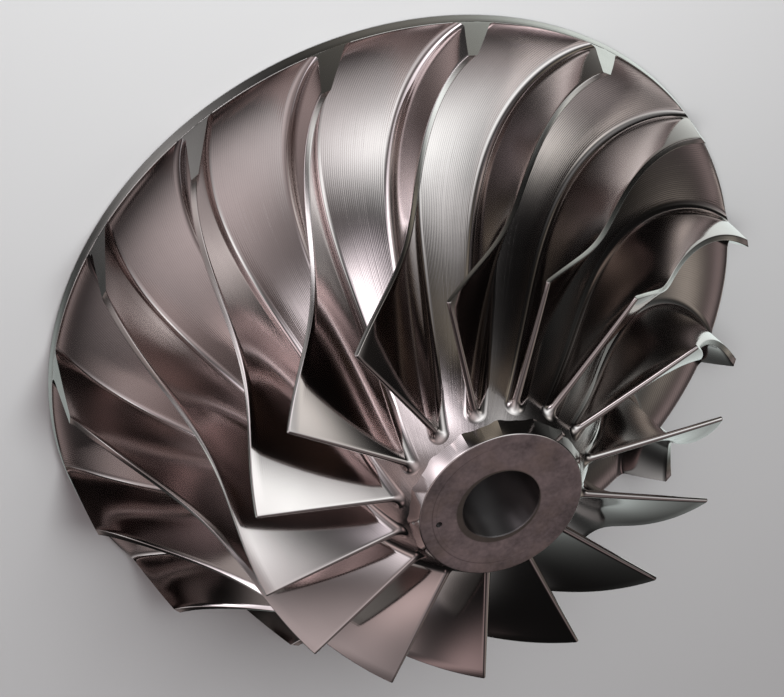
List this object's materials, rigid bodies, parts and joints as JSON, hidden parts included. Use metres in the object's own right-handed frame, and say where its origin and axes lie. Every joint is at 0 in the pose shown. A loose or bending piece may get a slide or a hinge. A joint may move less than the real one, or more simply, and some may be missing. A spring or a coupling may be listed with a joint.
{
  "type": "centrifugal compressor impeller",
  "caption": "Semi-open steel impeller with full-length backswept blades on a bored hub and back disc, drawing gas in along its axis and throwing it out at the rim.",
  "frame": {"origin": "centre of the flat back face, on the bore axis", "axes": "+Z along the bore axis from the back face to the nose; the leading edge of blade_01 lies along +X"},
  "size_m": [0.4, 0.3998, 0.1743],
  "materials": {
    "hub_steel": "finish-milled floor, satin",
    "nose_steel": "turned, matte",
    "blade_steel": "finish-milled and polished, satin"
  },
  "bodies": {
    "root": {"hub_body": "hub_steel", "nose_collar": "nose_steel", "blade_01": "blade_steel", "blade_02": "blade_steel", "blade_03": "blade_steel", "blade_04": "blade_steel", "blade_05": "blade_steel", "blade_06": "blade_steel", "blade_07": "blade_steel", "blade_08": "blade_steel", "blade_09": "blade_steel", "blade_10": "blade_steel", "blade_11": "blade_steel", "blade_12": "blade_steel", "blade_13": "blade_steel", "blade_14": "blade_steel", "blade_15": "blade_steel"}
  },
  "joints": []
}
